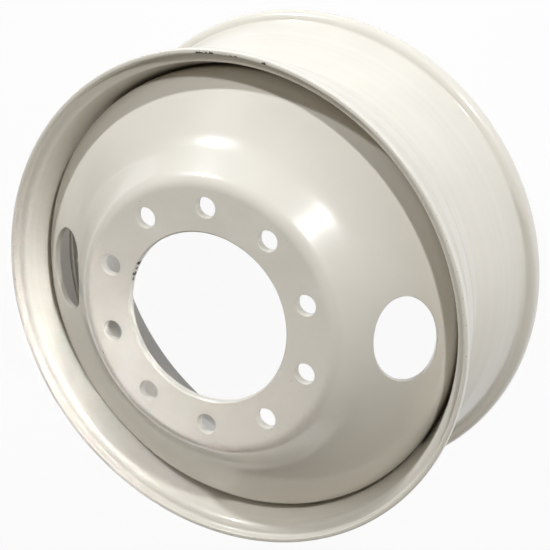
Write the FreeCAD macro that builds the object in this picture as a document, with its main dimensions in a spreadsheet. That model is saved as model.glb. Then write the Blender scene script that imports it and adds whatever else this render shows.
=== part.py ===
# Steel disc wheel for a heavy truck: a rolled drop-centre rim with tapered bead seats, a spun
# disc with a hub bore, a circle of stud holes and two hand holes, and the weld that joins them.
# The wheel lies on the rim edge that is inboard in use, axle along +Z and the domed disc upward.
import math
import os

import FreeCAD
import Part
import Sketcher

doc = FreeCAD.newDocument("steel_wheel")
sheet = doc.addObject("Spreadsheet::Sheet", "sizes")

# Driving dimensions in millimetres and degrees. Diameters of the rim hang on the bead seat's heel,
# and places along the axle on the rim's middle plane.
SIZES = (
    ("seat_dia", 622.3),
    ("rim_width", 209.55),
    ("flange_height", 12.7),
    ("lip_length", 16.2),
    ("rim_wall", 6.0),
    ("seat_angle", 15.0),
    ("seat_width", 53.8),
    ("well_depth", 30.15),
    ("well_outboard", 9.0),
    ("well_inboard", 10.0),
    ("land_drop", 14.15),
    ("land_width", 17.4),
    ("lip_round", 2.0),
    ("flange_bend", 9.2),
    ("heel_bend", 3.5),
    ("well_bend", 14.0),
    ("land_bend", 5.0),
    ("valve_hole_dia", 9.7),
    ("outset", 168.0),
    ("flange_plate", 11.0),
    ("cone_plate", 9.0),
    ("flare_plate", 7.5),
    ("skirt_plate", 6.5),
    ("flange_dia", 353.2),
    ("cone_reach", 36.2),
    ("cone_drop", 40.2),
    ("shoulder_drop", 87.2),
    ("skirt_overlap", 13.5),
    ("flange_round", 24.0),
    ("throat_round", 80.0),
    ("shoulder_round", 22.0),
    ("bore_dia", 220.1),
    ("bore_chamfer", 1.8),
    ("stud_circle_dia", 285.75),
    ("stud_count", 10),
    ("stud_hole_dia", 26.75),
    ("stud_chamfer", 0.6),
    ("hand_inset", 50.6),
    ("hand_hole_count", 2),
    ("hand_hole_length", 110.4),
    ("hand_hole_height", 75.6),
    ("weld_round", 6.5),
)
for row, (alias, size) in enumerate(SIZES, start=1):
    sheet.set("A%d" % row, alias)
    sheet.set("B%d" % row, str(size))
    sheet.setAlias("B%d" % row, alias)
doc.recompute()


def number(text):
    """Present value of an expression in the sheet's names."""
    found = sheet.evalExpression(text)
    return float(getattr(found, "Value", found))


def origin_part(body, role):
    """Plane or axis of a body's origin, by its role."""
    return [item for item in body.Origin.OriginFeatures if item.Role == role][0]


def bind(sketch, constraint, text):
    """Add a dimension to a sketch and let the sheet drive it."""
    place = sketch.addConstraint(constraint)
    sketch.setExpression("Constraints[%d]" % place, text)


def behind(line, plate):
    """The line on the far side of a plate, to the left of the given one and running back along it."""
    heading, x, z = line
    return ("%s - 180 deg" % heading,
            "%s - %s * sin(%s)" % (x, plate, heading),
            "%s + %s * cos(%s)" % (z, plate, heading))


def section(body, name, lines, rounds):
    """Closed section in the XZ plane. Each line has a heading and a point (x, z) that it runs
    through; each corner to the next line has its round, or None where it is sharp."""
    sketch = body.newObject("Sketcher::SketchObject", name)
    sketch.AttachmentSupport = (origin_part(body, "XZ_Plane"), [""])
    sketch.MapMode = "FlatFace"
    sketch.Visibility = False
    count = len(lines)
    head = [math.radians(number(heading)) for heading, x, z in lines]
    point = [FreeCAD.Vector(number(x), number(z), 0) for heading, x, z in lines]
    way = [FreeCAD.Vector(math.cos(angle), math.sin(angle), 0) for angle in head]
    size = [0.0 if text is None else number(text) for text in rounds]
    turn = [math.remainder(head[(i + 1) % count] - head[i], 2 * math.pi) for i in range(count)]
    setback = [size[i] * math.tan(abs(turn[i]) / 2) for i in range(count)]
    corner = []
    for i in range(count):
        j = (i + 1) % count
        along = (point[j] - point[i]).cross(way[j]).z / way[i].cross(way[j]).z
        corner.append(point[i] + way[i] * along)
    for i in range(count):
        start = corner[i - 1] + way[i] * setback[i - 1]
        sketch.addGeometry(Part.LineSegment(start, corner[i] - way[i] * setback[i]), False)
    for i, (heading, x, z) in enumerate(lines):
        slant = number(heading) % 180
        if slant == 0:
            sketch.addConstraint(Sketcher.Constraint("Horizontal", i))
            if point[i].y == 0:
                sketch.addConstraint(Sketcher.Constraint("PointOnObject", i, 1, -1))
            else:
                bind(sketch, Sketcher.Constraint("DistanceY", -1, 1, i, 1, point[i].y), z)
        elif slant == 90:
            sketch.addConstraint(Sketcher.Constraint("Vertical", i))
            bind(sketch, Sketcher.Constraint("DistanceX", -1, 1, i, 1, point[i].x), x)
        else:
            mark = sketch.addGeometry(Part.Point(point[i]), True)
            bind(sketch, Sketcher.Constraint("DistanceX", -1, 1, mark, 1, point[i].x), x)
            bind(sketch, Sketcher.Constraint("DistanceY", -1, 1, mark, 1, point[i].y), z)
            sketch.addConstraint(Sketcher.Constraint("PointOnObject", mark, 1, i))
            bind(sketch, Sketcher.Constraint("Angle", i, head[i]), heading)
    for i in range(count):
        j = (i + 1) % count
        if rounds[i] is None:
            sketch.addConstraint(Sketcher.Constraint("Coincident", i, 2, j, 1))
            continue
        left = turn[i] > 0
        foot = corner[i] - way[i] * setback[i]
        aside = FreeCAD.Vector(-way[i].y, way[i].x, 0) * (size[i] if left else -size[i])
        first = head[i] + (-math.pi / 2 if left else math.pi / 2)
        span = sorted((first, first + turn[i]))
        circle = Part.Circle(foot + aside, FreeCAD.Vector(0, 0, 1), size[i])
        arc = sketch.addGeometry(Part.ArcOfCircle(circle, span[0], span[1]), False)
        sketch.addConstraint(Sketcher.Constraint("Tangent", i, 2, arc, 1 if left else 2))
        sketch.addConstraint(Sketcher.Constraint("Tangent", arc, 2 if left else 1, j, 1))
        bind(sketch, Sketcher.Constraint("Radius", arc, size[i]), rounds[i])
    return sketch


def turned(body, name, sketch):
    """Section turned once round the axle."""
    solid = body.newObject("PartDesign::Revolution", name)
    solid.Profile = sketch
    solid.ReferenceAxis = (sketch, ["V_Axis"])
    solid.Angle = 360
    doc.recompute()
    return solid


def sketch_at(body, name, x, y, z, lean):
    """Sketch with its origin at (x, y, z), its normal up the axle and then leaned toward +X."""
    sketch = body.newObject("Sketcher::SketchObject", name)
    sketch.AttachmentSupport = (origin_part(body, "XY_Plane"), [""])
    sketch.MapMode = "FlatFace"
    sketch.Visibility = False
    place = FreeCAD.Vector(number(x), number(y), number(z))
    tilt = FreeCAD.Rotation(FreeCAD.Vector(0, 1, 0), number(lean))
    sketch.AttachmentOffset = FreeCAD.Placement(place, tilt)
    sketch.setExpression("AttachmentOffset.Base.x", x)
    sketch.setExpression("AttachmentOffset.Base.y", y)
    sketch.setExpression("AttachmentOffset.Base.z", z)
    sketch.setExpression("AttachmentOffset.Rotation.Angle", lean)
    return sketch


def circle_in(sketch, diameter):
    """Circle about the sketch's origin."""
    circle = Part.Circle(FreeCAD.Vector(), FreeCAD.Vector(0, 0, 1), number(diameter) / 2)
    sketch.addGeometry(circle, False)
    sketch.addConstraint(Sketcher.Constraint("Coincident", 0, 3, -1, 1))
    bind(sketch, Sketcher.Constraint("Diameter", 0, number(diameter)), diameter)


def oval_in(sketch, length, height):
    """Ellipse about the sketch's origin, its length along the sketch's Y."""
    long_half = FreeCAD.Vector(0, number(length) / 2, 0)
    short_half = FreeCAD.Vector(-number(height) / 2, 0, 0)
    sketch.addGeometry(Part.Ellipse(long_half, short_half, FreeCAD.Vector()), False)
    sketch.exposeInternalGeometry(0)
    sketch.addConstraint(Sketcher.Constraint("Coincident", 0, 3, -1, 1))
    sketch.addConstraint(Sketcher.Constraint("Vertical", 1))
    bind(sketch, Sketcher.Constraint("Distance", 1, number(length)), length)
    bind(sketch, Sketcher.Constraint("Distance", 2, number(height)), height)


def punched(body, name, sketch):
    """Hole along the sketch's normal, through the plate on both sides of the sketch."""
    hole = body.newObject("PartDesign::Pocket", name)
    hole.Profile = sketch
    hole.Type = "Length"
    hole.SideType = "Symmetric"
    hole.Length = number("sizes.flange_plate * 6")
    hole.setExpression("Length", "sizes.flange_plate * 6")
    body.Tip = hole
    return hole


def ring_of(body, name, feature, count):
    """Feature repeated evenly round the axle."""
    pattern = body.newObject("PartDesign::PolarPattern", name)
    pattern.Originals = [feature]
    pattern.Axis = (origin_part(body, "Z_Axis"), [""])
    pattern.Angle = 360
    pattern.Occurrences = int(number(count))
    pattern.setExpression("Occurrences", count)
    body.Tip = pattern
    return pattern


# Rim: one rolled strip of even thickness. Up its tyre side, from the inboard lip, run flange, bead
# seat, slope, well, wall, the land that the disc sits in, and the outboard bead seat and flange.
# The slope and the wall take their angles from where the seat, the well and the land end.
WALL = "sizes.rim_wall"
MIDDLE = "(sizes.lip_length + sizes.rim_width / 2)"
OUTER_FLANGE = "(sizes.lip_length + sizes.rim_width)"
RIM_TOP = "(sizes.lip_length * 2 + sizes.rim_width)"
SEAT = "sizes.seat_dia / 2"
EDGE = "(sizes.seat_dia / 2 + sizes.flange_height)"
WELL = "(sizes.seat_dia / 2 - sizes.well_depth)"
LAND = "(sizes.seat_dia / 2 - sizes.land_drop - sizes.rim_wall)"
TAPER = "(sizes.seat_angle * 1 deg)"
INNER_WELL = "(%s - sizes.well_inboard)" % MIDDLE
OUTER_WELL = "(%s + sizes.well_outboard)" % MIDDLE
LAND_TOP = "(%s - sizes.land_drop / tan(%s))" % (OUTER_FLANGE, TAPER)
LAND_FOOT = "(%s - sizes.land_width)" % LAND_TOP
SLOPE_FALL = "(sizes.well_depth - sizes.seat_width * tan(%s))" % TAPER
SLOPE = "atan(%s / (%s - sizes.lip_length - sizes.seat_width))" % (SLOPE_FALL, INNER_WELL)
RISE = "atan((sizes.well_depth - sizes.land_drop) / (%s - %s))" % (LAND_FOOT, OUTER_WELL)
tyre_side = (
    ("90 deg", EDGE, "0"),
    ("180 deg", SEAT, "sizes.lip_length"),
    ("(90 deg + %s)" % TAPER, SEAT, "sizes.lip_length"),
    ("(90 deg + %s)" % SLOPE, WELL, INNER_WELL),
    ("90 deg", WELL, INNER_WELL),
    ("(90 deg - %s)" % RISE, WELL, OUTER_WELL),
    ("90 deg", "%s + %s" % (LAND, WALL), LAND_FOOT),
    ("(90 deg - %s)" % TAPER, SEAT, OUTER_FLANGE),
    ("0 deg", SEAT, OUTER_FLANGE),
    ("90 deg", EDGE, OUTER_FLANGE),
)
# Rounds of the corners along the strip, on the tyre side and on the inside.
bends = (
    ("sizes.flange_bend", "sizes.flange_bend - sizes.rim_wall"),
    ("sizes.heel_bend", "sizes.heel_bend + sizes.rim_wall"),
    ("sizes.well_bend + sizes.rim_wall", "sizes.well_bend"),
    ("sizes.well_bend", "sizes.well_bend + sizes.rim_wall"),
    ("sizes.well_bend", "sizes.well_bend + sizes.rim_wall"),
    ("sizes.land_bend + sizes.rim_wall", "sizes.land_bend"),
    ("sizes.land_bend", "sizes.land_bend + sizes.rim_wall"),
    ("sizes.heel_bend", "sizes.heel_bend + sizes.rim_wall"),
    ("sizes.flange_bend", "sizes.flange_bend - sizes.rim_wall"),
)
inside = [behind(line, WALL) for line in reversed(tyre_side)]
rim_lines = [("0 deg", EDGE, "0"), *tyre_side, ("180 deg", EDGE, RIM_TOP), *inside]
rim_rounds = ["sizes.lip_round", *[outer for outer, inner in bends], "sizes.lip_round"]
rim_rounds += ["sizes.lip_round", *[inner for outer, inner in reversed(bends)], "sizes.lip_round"]
wheel_rim = doc.addObject("PartDesign::Body", "wheel_rim")
turned(wheel_rim, "rim_strip", section(wheel_rim, "rim_section", rim_lines, rim_rounds))

# Valve hole: one hole halfway up the well's wall and square to it, in line with a hand hole.
VALVE_OUT = "(%s + %s + %s) / 2" % (WELL, LAND, WALL)
VALVE_UP = "(%s + %s) / 2" % (OUTER_WELL, LAND_FOOT)
valve_place = sketch_at(wheel_rim, "valve_place", VALVE_OUT, "0", VALVE_UP, "90 deg + " + RISE)
circle_in(valve_place, "sizes.valve_hole_dia")
punched(wheel_rim, "valve_hole", valve_place)

# Disc: one spun plate, thick at the flat hub flange and thinner toward the skirt. It falls from the
# flange as a steep cone, eases into a flatter flare and turns down into the skirt inside the land.
FACE = "(%s + sizes.outset)" % MIDDLE
BORE = "sizes.bore_dia / 2"
HUB_FLANGE = "sizes.flange_dia / 2"
SKIRT_END = "(%s - sizes.skirt_overlap)" % LAND_TOP
CONE = "atan(sizes.cone_drop / sizes.cone_reach)"
FLARE_RUN = "(%s - sizes.flange_dia / 2 - sizes.cone_reach)" % LAND
FLARE = "atan((sizes.shoulder_drop - sizes.cone_drop) / %s)" % FLARE_RUN
BACK_CHAMFER = "%s - sizes.flange_plate + sizes.bore_chamfer" % FACE
outer_face = (
    ("90 deg", LAND, SKIRT_END),
    ("(180 deg - %s)" % FLARE, LAND, "%s - sizes.shoulder_drop" % FACE),
    ("(180 deg - %s)" % CONE, HUB_FLANGE, FACE),
    ("180 deg", BORE, FACE),
)
plates = ("sizes.skirt_plate", "sizes.flare_plate", "sizes.cone_plate", "sizes.flange_plate")
bore_edge = (
    ("-135 deg", BORE + " + sizes.bore_chamfer", FACE),
    ("-90 deg", BORE, FACE),
    ("-45 deg", BORE, BACK_CHAMFER),
)
inner_face = [behind(line, plate) for line, plate in zip(reversed(outer_face), reversed(plates))]
disc_lines = [("0 deg", LAND, SKIRT_END), *outer_face, *bore_edge, *inner_face]
disc_rounds = [None, "sizes.shoulder_round", "sizes.throat_round", "sizes.flange_round"]
disc_rounds += [None, None, None, None]
disc_rounds += ["sizes.flange_round - sizes.flange_plate", "sizes.throat_round + sizes.flare_plate"]
disc_rounds += ["sizes.shoulder_round - sizes.skirt_plate", None]
wheel_disc = doc.addObject("PartDesign::Body", "wheel_disc")
turned(wheel_disc, "disc_plate", section(wheel_disc, "disc_section", disc_lines, disc_rounds))

# Stud holes: drilled straight through the hub flange, the outboard edge broken.
STUD_X = "sizes.stud_circle_dia / 2 * cos(180 deg / sizes.stud_count)"
STUD_Y = "sizes.stud_circle_dia / 2 * sin(180 deg / sizes.stud_count)"
stud_place = sketch_at(wheel_disc, "stud_place", STUD_X, STUD_Y, FACE, "0 deg")
circle_in(stud_place, "sizes.stud_hole_dia")
stud_hole = wheel_disc.newObject("PartDesign::Hole", "stud_hole")
stud_hole.Profile = stud_place
stud_hole.Threaded = False
stud_hole.DepthType = "ThroughAll"
stud_hole.HoleCutType = "Countersink"
stud_hole.HoleCutCountersinkAngle = 90
stud_hole.setExpression("Diameter", "sizes.stud_hole_dia")
stud_hole.setExpression("HoleCutDiameter", "sizes.stud_hole_dia + sizes.stud_chamfer * 2")
ring_of(wheel_disc, "stud_holes", stud_hole, "sizes.stud_count")

# Hand holes: ovals punched square to the flare, each centred between two stud holes.
HAND_OUT = "%s - sizes.hand_inset" % LAND
HAND_UP = "%s - sizes.shoulder_drop + sizes.hand_inset * tan(%s)" % (FACE, FLARE)
hand_place = sketch_at(wheel_disc, "hand_place", HAND_OUT, "0", HAND_UP, FLARE)
oval_in(hand_place, "sizes.hand_hole_length", "sizes.hand_hole_height")
hand_hole = punched(wheel_disc, "hand_hole", hand_place)
ring_of(wheel_disc, "hand_holes", hand_hole, "sizes.hand_hole_count")

# Weld: one bead all round, in the groove between the end of the skirt and the rim's wall.
bead = doc.addObject("Part::Torus", "weld_bead")
bead.setExpression("Radius1", LAND + " - sizes.weld_round / 4")
bead.setExpression("Radius2", "sizes.weld_round")
bead.setExpression("Placement.Base.z", SKIRT_END + " - sizes.weld_round / 6")
rim_side = doc.addObject("Part::Cut", "weld_on_rim")
rim_side.Base = bead
rim_side.Tool = wheel_rim
disc_weld = doc.addObject("Part::Cut", "disc_weld")
disc_weld.Base = rim_side
disc_weld.Tool = wheel_disc
doc.recompute()

for item in doc.Objects:
    if "Invalid" in item.State or "Error" in item.State:
        raise RuntimeError("%s did not build: %s" % (item.Name, item.State))
os.makedirs("parts", exist_ok=True)
for node in (wheel_rim, wheel_disc, disc_weld):
    if node.Shape.isNull() or not node.Shape.isValid():
        raise RuntimeError("%s has no sound shape" % node.Label)
    node.Shape.exportStep("parts/%s.step" % node.Label)
    print(node.Label, len(node.Shape.Solids), "solid,", round(node.Shape.Volume), "cubic mm")
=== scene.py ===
import math

import bpy
import numpy as np
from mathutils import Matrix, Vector


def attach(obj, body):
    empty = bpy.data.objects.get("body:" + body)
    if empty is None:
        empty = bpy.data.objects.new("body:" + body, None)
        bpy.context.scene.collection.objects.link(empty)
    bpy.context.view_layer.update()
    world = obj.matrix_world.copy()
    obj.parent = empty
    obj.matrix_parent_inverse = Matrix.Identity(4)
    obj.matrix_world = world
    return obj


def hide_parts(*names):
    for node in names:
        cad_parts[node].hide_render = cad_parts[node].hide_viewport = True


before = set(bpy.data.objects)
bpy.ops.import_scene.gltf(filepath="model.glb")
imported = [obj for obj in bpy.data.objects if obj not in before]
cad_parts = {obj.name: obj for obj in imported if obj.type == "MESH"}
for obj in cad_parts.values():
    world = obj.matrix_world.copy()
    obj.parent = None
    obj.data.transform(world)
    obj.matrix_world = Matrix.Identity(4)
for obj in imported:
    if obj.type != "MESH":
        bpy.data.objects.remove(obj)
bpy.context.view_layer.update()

# Rim: one strip of steel, rolled to its section, welded into a hoop and painted all over. Up its tyre
# side run the inboard lip, a tapered bead seat, a slope, the well, a wall, the land whose inside
# takes the disc, and the outboard seat and lip.
SEAT, EDGE = 0.31115, 0.32385
STRIP = 0.006
LIP, WIDTH = 0.0162, 0.20955
MIDDLE, OUTER_FLANGE, RIM_TOP = LIP + WIDTH / 2, LIP + WIDTH, 2 * LIP + WIDTH
WELL, LAND_DROP, LAND_LENGTH = 0.28100, 0.01415, 0.0174
LAND = SEAT - LAND_DROP - STRIP
TAPER, SEAT_WIDTH = 15.0, 0.0538
WELL_INBOARD, WELL_OUTBOARD = 0.010, 0.009
INNER_WELL, OUTER_WELL = MIDDLE - WELL_INBOARD, MIDDLE + WELL_OUTBOARD
LAND_TOP = OUTER_FLANGE - LAND_DROP / math.tan(math.radians(TAPER))
LAND_FOOT = LAND_TOP - LAND_LENGTH
SLOPE_FALL = SEAT - WELL - SEAT_WIDTH * math.tan(math.radians(TAPER))
SLOPE = math.degrees(math.atan2(SLOPE_FALL, INNER_WELL - LIP - SEAT_WIDTH))
RISE = math.degrees(math.atan2(LAND + STRIP - WELL, LAND_FOOT - OUTER_WELL))
LIP_ROUND, FLANGE_BEND, HEEL_BEND, WELL_BEND, LAND_BEND = 0.002, 0.0092, 0.0035, 0.014, 0.005
VALVE_HOLE, VALVE_EASE = 0.00485, 0.0005
VALVE_COLUMN, VALVE_STEP = 15, 0.2
FLAT_MARGIN = 0.0004


def behind(lines, plates):
    """The far sides of a row of plates, in reverse order. Each line is a heading in degrees and a
    point (r, z); its far side runs the other way, one plate's thickness to its left."""
    heading, r, z = np.array(lines, float)[::-1].T
    thick = np.broadcast_to(plates, heading.shape)[::-1]
    lean = np.radians(heading)
    return np.stack([heading - 180.0, r - thick * np.sin(lean), z + thick * np.cos(lean)], axis=1)


def eased(lines, rounds, steps):
    """Closed outline (r, z) of lines that meet in rounded corners. A corner is where a line crosses the
    next. Its arc starts round / tan(half the corner's angle) before it and ends as far after it,
    about a middle on the bisector, and one more point either side of the arc keeps the flats flat."""
    heading, r, z = np.array(lines, float).T
    point = np.stack([r, z], axis=1)
    way = np.stack([np.cos(np.radians(heading)), np.sin(np.radians(heading))], axis=1)
    after = np.roll(way, -1, axis=0)
    gap = np.roll(point, -1, axis=0) - point
    crossing = way[:, 0] * after[:, 1] - way[:, 1] * after[:, 0]
    along = (gap[:, 0] * after[:, 1] - gap[:, 1] * after[:, 0]) / crossing
    corner = point + way * along[:, None]
    size = np.array(rounds, float)[:, None]
    half = (np.pi - np.arccos(np.sum(way * after, axis=1)))[:, None] / 2
    inward = (after - way) / np.linalg.norm(after - way, axis=1, keepdims=True)
    middle = corner + inward * size / np.sin(half)
    touch = size / np.tan(half)
    first, last = corner - way * touch - middle, corner + after * touch - middle
    share = np.linspace(0.0, 1.0, steps)[None, :, None]
    spread = (np.pi - 2 * half)[:, :, None]
    blend = first[:, None] * np.sin((1 - share) * spread) + last[:, None] * np.sin(share * spread)
    arc = blend / np.sin(spread)
    before = (corner - way * (touch + FLAT_MARGIN))[:, None]
    beyond = (corner + after * (touch + FLAT_MARGIN))[:, None]
    return np.concatenate([before, middle[:, None] + arc, beyond], axis=1).reshape(-1, 2)


def evened(outline, centre, step, count):
    """Outline whose points near a centre on it give way to count even steps along it on either side.
    A point less than a third of a step beyond the last even one goes too."""
    crowded = 0.3
    side = np.roll(outline, -1, axis=0) - outline
    length = np.linalg.norm(side, axis=1)
    run = np.concatenate([[0.0], np.cumsum(length)])
    share = np.clip(np.sum((centre - outline) * side, axis=1) / length ** 2, 0.0, 1.0)
    near = np.argmin(np.linalg.norm(outline + side * share[:, None] - centre, axis=1))
    at = run[near] + share[near] * length[near]
    own = run[:-1][np.abs(run[:-1] - at) > step * (count + crowded)]
    place = np.sort(np.concatenate([own, at + step * np.arange(-count, count + 1)]))
    closed = np.concatenate([outline, outline[:1]])
    return np.stack([np.interp(place, run, closed[:, 0]), np.interp(place, run, closed[:, 1])], axis=1)


class Hoop:
    """A closed outline turned round the axle: point (i, j) is the outline's point i, (r, z), carried
    to (r cos a, r sin a, z) by angle j. Holes open blocks of cells and add their own walls. Each ring
    of points round a hole is ring_step of a cell wider than the last. It is slid on to the sheet in
    settling rounds, and the sheet is taken sheet_margin rows past the rings."""

    ring_step, settling, sheet_margin = 0.3, 15, 5

    def __init__(self, outline, angles):
        r, z = outline.T
        self.outline = outline
        self.angles = angles
        self.points = np.stack([np.outer(r, np.cos(angles)), np.outer(r, np.sin(angles)),
                                np.outer(z, np.ones_like(angles))], axis=2)
        self.whole = np.ones(self.points.shape[:2], bool)
        self.wall_points = np.zeros((0, 3))
        self.wall_faces = np.zeros((0, 4), int)

    def hole(self, column, front, back, lean, half, ease, block, reach):
        """An oval hole about an axis that leans out from the axle, through the front and back sheets at
        the given places (r, z). A square of cells, block each way, is opened. The rings of points from
        its border out to reach are drawn toward ovals, fully at the border and not at all at reach, and
        slid along the axis back on to the sheet. The wall joins the two borders over eased edges."""
        rows, columns = self.whole.shape
        axis = np.array([math.sin(lean), math.cos(lean)])
        along = np.array([math.cos(lean), -math.sin(lean)])
        turn = self.angles[column]
        index = np.arange(-reach, reach + 1)
        down, across = np.meshgrid(index, index, indexing="ij")
        ring = np.maximum(np.abs(down), np.abs(across))
        steep = np.pi / 4 * across / np.where(down == 0, 1, down) + np.pi * (down < 0)
        flat = np.pi / 2 * np.sign(across) - np.pi / 4 * down / np.where(across == 0, 1, across)
        round_it = np.where(np.abs(down) >= np.abs(across), steep, flat)
        pull = np.clip((reach - ring) / (reach - block), 0.0, 1.0)
        grow = ease + (ring - block) * half[0] / block * self.ring_step
        beside = (column + index) % columns
        middle_row = [int(np.argmin(np.linalg.norm(self.outline - place, axis=1)))
                      for place in (front, back)]
        stretch = np.arange(-reach - self.sheet_margin, reach + self.sheet_margin + 1)
        for row, sense, place in zip(middle_row, (-1, 1), (front, back)):
            x, y, z = np.moveaxis(self.points[np.ix_(row + sense * index, beside)], 2, 0)
            x, y = x * math.cos(turn) + y * math.sin(turn), y * math.cos(turn) - x * math.sin(turn)
            s = (x - place[0]) * along[0] + (z - place[1]) * along[1]
            t = (x - place[0]) * axis[0] + (z - place[1]) * axis[1]
            s = s + pull * ((half[0] + grow) * np.cos(round_it) - s)
            y = y + pull * ((half[1] + grow) * np.sin(round_it) - y)
            sheet = self.outline[row + sense * stretch] - place
            for settle in range(self.settling):
                x = place[0] + s * along[0] + t * axis[0]
                z = place[1] + s * along[1] + t * axis[1]
                off = np.stack([np.hypot(x, y) - place[0], z - place[1]], axis=-1)
                t = t - off @ axis + np.interp(off @ along, sheet @ along, sheet @ axis)
            x, y = x * math.cos(turn) - y * math.sin(turn), x * math.sin(turn) + y * math.cos(turn)
            self.points[np.ix_(row + sense * index, beside)] = np.stack([x, y, z], axis=-1)
            opened = np.arange(-block, block)
            self.whole[np.ix_(row + opened, (column + opened) % columns)] = False
        count = 8 * block
        step = np.arange(count)
        down = np.clip(np.abs(step - 4 * block) - 2 * block, -block, block)
        across = np.clip(np.abs((step - 2 * block) % count - 4 * block) - 2 * block, -block, block)
        top = (middle_row[0] - down) * columns + (column + across) % columns
        bottom = (middle_row[1] + down) * columns + (column + across) % columns
        angle = 2 * np.pi * step / count
        outward = np.array([along[0] * math.cos(turn), along[0] * math.sin(turn), along[1]])
        sideways = np.array([-math.sin(turn), math.cos(turn), 0.0])
        upward = np.array([axis[0] * math.cos(turn), axis[0] * math.sin(turn), axis[1]])
        spoke = np.outer(np.cos(angle), outward) + np.outer(np.sin(angle), sideways)
        bend = np.radians([30.0, 60.0, 90.0])[:, None, None]
        inset = -ease * np.sin(bend) * spoke
        depth = ease * (1 - np.cos(bend)) * upward
        flat_points = self.points.reshape(-1, 3)
        wall = np.concatenate([flat_points[top] + inset - depth,
                               (flat_points[bottom] + inset + depth)[::-1]])
        first = rows * columns + len(self.wall_points)
        between = first + np.arange(len(wall) * count).reshape(-1, count)
        loops = np.concatenate([top[None], between, bottom[None]])
        on = np.roll(loops, -1, axis=1)
        faces = np.stack([loops[:-1], on[:-1], on[1:], loops[1:]], axis=-1).reshape(-1, 4)
        self.wall_points = np.concatenate([self.wall_points, wall.reshape(-1, 3)])
        self.wall_faces = np.concatenate([self.wall_faces, faces])

    def piece(self, name, node, material):
        """The hoop as a mesh object that stands for a node of the model."""
        rows, columns = self.whole.shape
        i, j = np.nonzero(self.whole)
        up, on = (i + 1) % rows, (j + 1) % columns
        faces = np.stack([i * columns + j, i * columns + on, up * columns + on, up * columns + j], axis=1)
        used, faces = np.unique(np.concatenate([faces, self.wall_faces]), return_inverse=True)
        points = np.concatenate([self.points.reshape(-1, 3), self.wall_points])[used]
        mesh = bpy.data.meshes.new(name)
        mesh.from_pydata(points, [], faces.reshape(-1, 4))
        mesh.shade_smooth()
        mesh.materials.append(material)
        obj = bpy.data.objects.new(name, mesh)
        bpy.context.scene.collection.objects.link(obj)
        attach(obj, "root")
        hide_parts(node)


class Shade:
    """A number, colour or vector in a node tree. Arithmetic on numbers adds maths nodes, and new() adds
    any other node: its settings first, in lower case, then the values or links of its sockets, by
    name with _ for a space or by place as I0, I1 and so on."""

    def __init__(self, tree, socket=None):
        self.tree = tree
        self.socket = socket

    def new(self, kind, output=0, **inputs):
        node = self.tree.nodes.new(kind)
        for name, value in inputs.items():
            if name.islower():
                setattr(node, name, value)
        for name, value in inputs.items():
            if name.islower():
                continue
            by_place = name[1:].isdigit()
            place = node.inputs[int(name[1:]) if by_place else name.replace("_", " ")]
            if isinstance(value, Shade):
                self.tree.links.new(value.socket, place)
            else:
                place.default_value = value
        return Shade(self.tree, node.outputs[output])

    def maths(self, operation, first, second=0.0):
        return self.new("ShaderNodeMath", operation=operation, I0=first, I1=second)

    def __add__(self, other):
        return self.maths("ADD", self, other)

    def __radd__(self, other):
        return self.maths("ADD", other, self)

    def __sub__(self, other):
        return self.maths("SUBTRACT", self, other)

    def __rsub__(self, other):
        return self.maths("SUBTRACT", other, self)

    def __mul__(self, other):
        return self.maths("MULTIPLY", self, other)

    def __rmul__(self, other):
        return self.maths("MULTIPLY", other, self)

    def __truediv__(self, other):
        return self.maths("DIVIDE", self, other)

    def __rtruediv__(self, other):
        return self.maths("DIVIDE", other, self)

    def step(self, low, high):
        """0 at low and 1 at high, with a smooth rise between them."""
        return self.new("ShaderNodeMapRange", interpolation_type="SMOOTHSTEP",
                        Value=self, From_Min=low, From_Max=high)

    def tint(self, low, high):
        """Colour low where this is 0 and colour high where it is 1."""
        return self.new("ShaderNodeMix", output=2, data_type="RGBA", I0=self, I6=low, I7=high)

    def noise(self, scale, detail):
        """Cloudy noise over this place."""
        return self.new("ShaderNodeTexNoise", Vector=self, Scale=scale, Detail=detail)


CREAM = (0.78, 0.748, 0.68)
DRIFT, PALING = 0.96, 0.72
DARK_STEEL, PALE_STEEL = (0.030, 0.024, 0.018, 1.0), (0.10, 0.085, 0.07, 1.0)
RAGGED, CHIP_OUTSIDE, CHIP_INSIDE = 1.6, 1.75, 1.55
GLOSS, BARE_ROUGH, RUBBED_ROUGH = 0.30, 0.45, 0.15
COAT, COAT_ROUGH = 0.75, 0.05
PEEL, WAVES, CHIP_DEPTH, RELIEF = 0.025, 0.3, 0.1, 0.001


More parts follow.
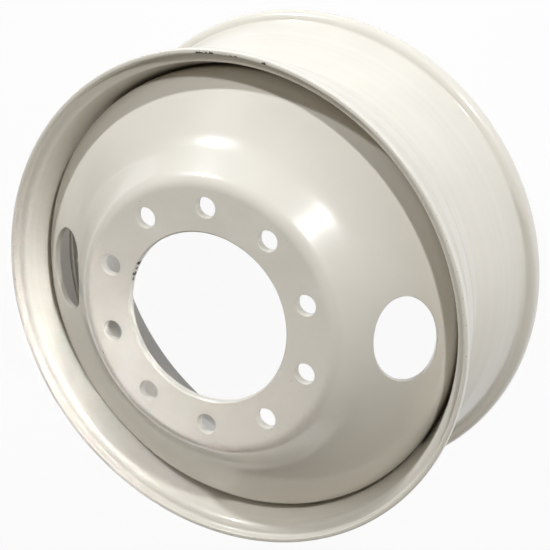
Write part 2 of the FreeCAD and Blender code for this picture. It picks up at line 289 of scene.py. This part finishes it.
def enamel(name, colour, chips, worn, speckled):
    """Gloss enamel over steel. The coat has fine orange peel and a slow waviness, and its colour drifts a
    little. Chips are spots (x, y, z, radius) bared to dark steel inside a ragged edge. worn and
    speckled take the radius, the height and the place, and give how far the gloss is rubbed pale,
    and how far the edge is peppered with small dark nicks."""
    material = bpy.data.materials.new(name)
    material.use_nodes = True
    tree = material.node_tree
    paint = tree.nodes["Principled BSDF"]
    place = Shade(tree).new("ShaderNodeTexCoord", output="Object")
    flat = place.new("ShaderNodeVectorMath", operation="MULTIPLY", I0=place, I1=(1.0, 1.0, 0.0))
    radius = place.new("ShaderNodeVectorMath", output="Value", operation="LENGTH", I0=flat)
    height = place.new("ShaderNodeSeparateXYZ", output="Z", Vector=place)
    ragged = place.noise(420.0, 4.0)
    bare = speckled(radius, height, place)
    for x, y, z, size in chips:
        away = place.new("ShaderNodeVectorMath", output="Value", operation="DISTANCE", I0=place, I1=(x, y, z))
        chip = (away / size + ragged * RAGGED).step(CHIP_OUTSIDE, CHIP_INSIDE)
        bare = place.maths("MAXIMUM", bare, chip)
    rubbed = worn(radius, height, place)
    drift = place.noise(9.0, 3.0).step(0.3, 0.7)
    fresh = drift.tint((*(DRIFT * c for c in colour), 1.0), (*colour, 1.0))
    tone = rubbed.tint(fresh, (*(1.0 - PALING * (1.0 - c) for c in colour), 1.0))
    steel = ragged.step(0.35, 0.65).tint(DARK_STEEL, PALE_STEEL)
    skin = bare.tint(tone, steel)
    tree.links.new(skin.socket, paint.inputs["Base Color"])
    rough = GLOSS + bare * BARE_ROUGH + rubbed * RUBBED_ROUGH
    tree.links.new(rough.socket, paint.inputs["Roughness"])
    tree.links.new((COAT - bare * COAT).socket, paint.inputs["Coat Weight"])
    paint.inputs["Coat Roughness"].default_value = COAT_ROUGH
    relief = place.noise(260.0, 2.0) * PEEL + place.noise(24.0, 1.0) * WAVES - bare * CHIP_DEPTH
    bump = place.new("ShaderNodeBump", Strength=1.0, Distance=RELIEF, Height=relief)
    tree.links.new(bump.socket, paint.inputs["Normal"])
    return material


def on_circle(radius, height, *marks):
    """Spots (x, y, z, size) on a circle about the axle, from their azimuths in degrees and sizes."""
    azimuth, size = np.array(marks).T
    turn = np.radians(azimuth)
    spots = [radius * np.cos(turn), radius * np.sin(turn), np.full_like(turn, height), size]
    return np.stack(spots, axis=1).tolist()


tyre_side = [
    (90.0, EDGE, 0.0),
    (180.0, SEAT, LIP),
    (90.0 + TAPER, SEAT, LIP),
    (90.0 + SLOPE, WELL, INNER_WELL),
    (90.0, WELL, INNER_WELL),
    (90.0 - RISE, WELL, OUTER_WELL),
    (90.0, LAND + STRIP, LAND_FOOT),
    (90.0 - TAPER, SEAT, OUTER_FLANGE),
    (0.0, SEAT, OUTER_FLANGE),
    (90.0, EDGE, OUTER_FLANGE),
]
bends = np.array([FLANGE_BEND, HEEL_BEND, WELL_BEND + STRIP, WELL_BEND, WELL_BEND,
                  LAND_BEND + STRIP, LAND_BEND, HEEL_BEND, FLANGE_BEND])
inner_bends = bends + STRIP * np.array([-1, 1, -1, 1, 1, -1, 1, 1, -1])
rim_lines = [(0.0, EDGE, 0.0), *tyre_side, (180.0, EDGE, RIM_TOP), *behind(tyre_side, STRIP)]
rim_rounds = [LIP_ROUND, *bends, LIP_ROUND, LIP_ROUND, *inner_bends[::-1], LIP_ROUND]
valve_lean = math.radians(90.0 + RISE)
valve_front = np.array([(WELL + LAND + STRIP) / 2, (OUTER_WELL + LAND_FOOT) / 2])
valve_back = valve_front - STRIP * np.array([math.sin(valve_lean), math.cos(valve_lean)])
rim_outline = eased(rim_lines, rim_rounds, steps=6)
for side in (valve_front, valve_back):
    rim_outline = evened(rim_outline, side, step=0.001, count=8)
valve_angles = np.arange(-VALVE_COLUMN, VALVE_COLUMN) * VALVE_STEP
rim_angles = np.radians(np.concatenate([valve_angles, np.arange(3, 357)]))
rim = Hoop(rim_outline, rim_angles)
rim.hole(VALVE_COLUMN, valve_front, valve_back, valve_lean, (VALVE_HOLE, VALVE_HOLE), VALVE_EASE,
         block=4, reach=8)
LIP_INSIDE, CHIP_SINK, LIP_BAND, ROLLED = 0.3172, 0.0005, 0.003, 0.3
lip_chips = on_circle(LIP_INSIDE, RIM_TOP - CHIP_SINK, (80.5, 0.0040), (87.4, 0.0034), (88.4, 0.0030),
                      (93.4, 0.0042), (94.6, 0.0036), (95.6, 0.0034), (96.6, 0.0042))


def roll_marks(radius, height, place):
    """Faint pale lines round the rim: noise over radius and height alone."""
    section = place.new("ShaderNodeCombineXYZ", X=radius, Y=height)
    return section.noise(190.0, 3.0).step(0.45, 0.75) * ROLLED


def lip_nicks(radius, height, place):
    """Small dark nicks on the top of the outboard lip."""
    return place.noise(520.0, 2.0).step(0.70, 0.74) * height.step(RIM_TOP - LIP_BAND, RIM_TOP)


rim.piece("rim", "wheel_rim", enamel("rim_enamel", CREAM, lip_chips, roll_marks, lip_nicks))

# Disc: one plate, spun over a former so that it is thick at the flat hub flange and thin at the skirt.
# The hub bore and the stud holes are machined, the two hand holes punched. The edge of the bore is
# chipped to the steel on one side, where the wheel has been slid over the hub.
OUTSET = 0.168
FACE = MIDDLE + OUTSET
BORE, BORE_CHAMFER = 0.11005, 0.0018
HUB_FLANGE = 0.1766
CONE_REACH, CONE_DROP, SHOULDER_DROP = 0.0362, 0.0402, 0.0872
PLATES = (0.0065, 0.0075, 0.009, 0.011)
SKIRT_LENGTH = 0.0135
SKIRT_END = LAND_TOP - SKIRT_LENGTH
FLANGE_ROUND, THROAT_ROUND, SHOULDER_ROUND, CRISP = 0.024, 0.080, 0.022, 0.0003
STUD_CIRCLE, STUD_HOLE, STUD_EASE = 0.142875, 0.013375, 0.0006
HAND_INSET, HAND_HOLE, HAND_EASE = 0.0506, (0.0378, 0.0552), 0.0010
CONE = math.degrees(math.atan2(CONE_DROP, CONE_REACH))
FLARE = math.degrees(math.atan2(SHOULDER_DROP - CONE_DROP, LAND - HUB_FLANGE - CONE_REACH))
outer_face = [
    (90.0, LAND, SKIRT_END),
    (180.0 - FLARE, LAND, FACE - SHOULDER_DROP),
    (180.0 - CONE, HUB_FLANGE, FACE),
    (180.0, BORE, FACE),
]
bore_edge = [
    (-135.0, BORE + BORE_CHAMFER, FACE),
    (-90.0, BORE, FACE),
    (-45.0, BORE, FACE - PLATES[3] + BORE_CHAMFER),
]
disc_lines = [(0.0, LAND, SKIRT_END), *outer_face, *bore_edge, *behind(outer_face, PLATES)]
disc_rounds = [CRISP, SHOULDER_ROUND, THROAT_ROUND, FLANGE_ROUND, CRISP, CRISP, CRISP, CRISP,
               FLANGE_ROUND - PLATES[3], THROAT_ROUND + PLATES[1], SHOULDER_ROUND - PLATES[0], CRISP]
stud_front = np.array([STUD_CIRCLE, FACE])
stud_back = stud_front - (0.0, PLATES[3])
hand_lean = math.radians(FLARE)
hand_front = np.array([LAND - HAND_INSET, FACE - SHOULDER_DROP + HAND_INSET * math.tan(hand_lean)])
hand_back = hand_front - PLATES[1] * np.array([math.sin(hand_lean), math.cos(hand_lean)])
disc_outline = eased(disc_lines, disc_rounds, steps=11)
for side in (stud_front, stud_back):
    disc_outline = evened(disc_outline, side, step=0.0025, count=7)
for side in (hand_front, hand_back):
    disc_outline = evened(disc_outline, side, step=0.0028, count=16)
disc = Hoop(disc_outline, np.radians(np.arange(360)))
for column in range(18, 360, 36):
    disc.hole(column, stud_front, stud_back, 0.0, (STUD_HOLE, STUD_HOLE), STUD_EASE, block=4, reach=7)
for column in (0, 180):
    disc.hole(column, hand_front, hand_back, hand_lean, HAND_HOLE, HAND_EASE, block=10, reach=16)
CHIP_OUTSET, FACE_BAND, RUBBED = 0.0006, 0.004, 0.5
bore_chips = on_circle(BORE + CHIP_OUTSET, FACE - FACE_BAND,
                       (151.0, 0.004), (155.5, 0.003), (160.0, 0.004), (164.0, 0.0028))


def flange_rubbing(radius, height, place):
    """Pale clouds on the flat of the hub flange, where nuts and hands have rubbed it."""
    return place.noise(13.0, 6.0).step(0.52, 0.72) * height.step(FACE - FACE_BAND, FACE) * RUBBED


def flange_nicks(radius, height, place):
    """A few dark specks on the flat of the hub flange."""
    return place.noise(300.0, 1.0).step(0.80, 0.83) * height.step(FACE - FACE_BAND, FACE)


disc.piece("disc", "wheel_disc",
           enamel("disc_enamel", CREAM, bore_chips, flange_rubbing, flange_nicks))

# Weld: one bead laid all round in the groove between the end of the skirt and the rim's wall, under
# the same paint, cloudy with wear and lightly pitted.
BEAD = 0.0065
around = np.linspace(0.0, 2 * np.pi, 24, endpoint=False)
bead_outline = np.stack([LAND - BEAD / 4 + BEAD * np.cos(around),
                         SKIRT_END - BEAD / 6 + BEAD * np.sin(around)], axis=1)
weld = Hoop(bead_outline, np.radians(np.arange(360)))
weld.piece("weld", "disc_weld", enamel(
    "weld_enamel", CREAM, [],
    lambda radius, height, place: place.noise(60.0, 3.0).step(0.5, 0.7) * 0.3,
    lambda radius, height, place: place.noise(240.0, 2.0).step(0.72, 0.76) * 0.6))

# Floor: plain and white, which keeps a faint shadow of the wheel. To the camera, and in gloss and
# glass, it shows mostly as plain white, and it throws light back on the wheel as pale paper does.
FLOOR_SIZE, PAPER, WHITE_SHARE = 60.0, (0.8, 0.8, 0.8, 1.0), 0.94
WHITE = (1.0, 1.0, 1.0, 1.0)
bpy.ops.mesh.primitive_plane_add(size=FLOOR_SIZE, location=(0.0, 0.0, 0.0))
floor = bpy.context.object
floor.name = "floor"
floor_paint = bpy.data.materials.new("floor_white")
floor_paint.use_nodes = True
tree = floor_paint.node_tree
tree.nodes.remove(tree.nodes["Principled BSDF"])
start = Shade(tree)
seen = start.new("ShaderNodeLightPath", output="Is Camera Ray")
for ray in ("Is Glossy Ray", "Is Transmission Ray"):
    seen = start.maths("MAXIMUM", seen, start.new("ShaderNodeLightPath", output=ray))
plain = start.new("ShaderNodeBsdfDiffuse", Color=PAPER)
white = start.new("ShaderNodeEmission", Color=WHITE, Strength=1.0)
look = start.new("ShaderNodeMixShader", I0=seen * WHITE_SHARE, I1=plain, I2=white)
tree.links.new(look.socket, tree.nodes["Material Output"].inputs["Surface"])
floor.data.materials.append(floor_paint)

# Light: a soft room, paler on the side that is up in the picture, with a pale wall low down beyond
# the wheel. Two small lamps throw the lip's shadow on the upper side of the disc, a narrow beam
# lifts the left of the rim, and wide lamps, which don't show in the gloss, fill in.
PICTURE_UP, WALL_SIDE = (-0.19, 0.98, 0.0), (0.66, 0.75, 0.0)
ROOM_DIM, ROOM_PALE = (0.035, 0.031, 0.024, 1.0), (0.12, 0.107, 0.078, 1.0)
NO_GLOW, WALL_GLOW = (0.0, 0.0, 0.0, 1.0), (1.35, 1.48, 1.6, 1.0)
LAMP_REACH, GLOSSY_UNDER = 3.0, 0.2
world = bpy.data.worlds.new("surroundings")
bpy.context.scene.world = world
world.use_nodes = True
tree = world.node_tree
start = Shade(tree)
way = start.new("ShaderNodeTexCoord", output="Generated")
upper, beyond, level = (
    start.new("ShaderNodeVectorMath", output="Value", operation="DOT_PRODUCT", I0=way, I1=toward)
    for toward in (PICTURE_UP, WALL_SIDE, (0.0, 0.0, 1.0)))
room = upper.step(-0.8, 0.8).tint(ROOM_DIM, ROOM_PALE)
wall = beyond.step(0.1, 0.9) * level.step(0.45, 0.05)
seen = start.new("ShaderNodeLightPath", output="Is Camera Ray")
glow = start.new("ShaderNodeBackground", Color=wall.tint(NO_GLOW, WALL_GLOW), Strength=1.0)
base = start.new("ShaderNodeBackground", Color=room, Strength=1.0)
both = start.new("ShaderNodeAddShader", I0=glow, I1=base)
white = start.new("ShaderNodeBackground", Color=WHITE, Strength=1.0)
look = start.new("ShaderNodeMixShader", I0=seen, I1=both, I2=white)
tree.links.new(look.socket, tree.nodes["World Output"].inputs["Surface"])
centre, left_part = Vector((0.0, 0.0, 0.24)), Vector((-0.36, -0.16, 0.22))
for name, aim, azimuth, rise, power, across, spread, colour in (
        ("right_lamp", centre, 50.0, 28.0, 41.0, 0.14, 180.0, (1.0, 1.0, 1.0)),
        ("left_lamp", centre, 122.0, 23.0, 43.0, 0.14, 180.0, (0.98, 1.0, 1.02)),
        ("near_right_lamp", left_part, 5.0, 36.0, 0.30, 0.3, 9.0, (1.0, 1.0, 1.0)),
        ("far_left_lamp", centre, 165.0, 28.0, 11.0, 1.2, 180.0, (1.0, 1.0, 1.0)),
        ("low_lamp", centre, 230.0, 40.0, 7.0, 1.6, 180.0, (1.0, 0.97, 0.90)),
        ("warm_lamp", centre, 320.0, 42.0, 10.0, 1.6, 180.0, (1.0, 0.92, 0.78))):
    lamp = bpy.data.objects.new(name, bpy.data.lights.new(name, "AREA"))
    lamp.data.shape = "DISK"
    lamp.data.size = across
    lamp.data.energy = power
    lamp.data.spread = math.radians(spread)
    lamp.data.color = colour
    lamp.visible_glossy = across < GLOSSY_UNDER
    turn, lift = math.radians(azimuth), math.radians(rise)
    reach = Vector((math.cos(lift) * math.cos(turn), math.cos(lift) * math.sin(turn), math.sin(lift)))
    lamp.location = LAMP_REACH * reach + aim
    lamp.rotation_euler = reach.to_track_quat("Z", "Y").to_euler()
    bpy.context.scene.collection.objects.link(lamp)

# Camera: looks down on the lying wheel from the side and height that the picture was taken from.
camera = bpy.data.objects.new("camera", bpy.data.cameras.new("camera"))
camera.location = (1.01146, 0.8483, 2.03656)
camera.rotation_euler = (-0.36836, 0.48686, 0.01088)
camera.data.angle = math.radians(17.4317)
bpy.context.scene.collection.objects.link(camera)
bpy.context.scene.camera = camera
bpy.context.scene.view_settings.view_transform = "Standard"
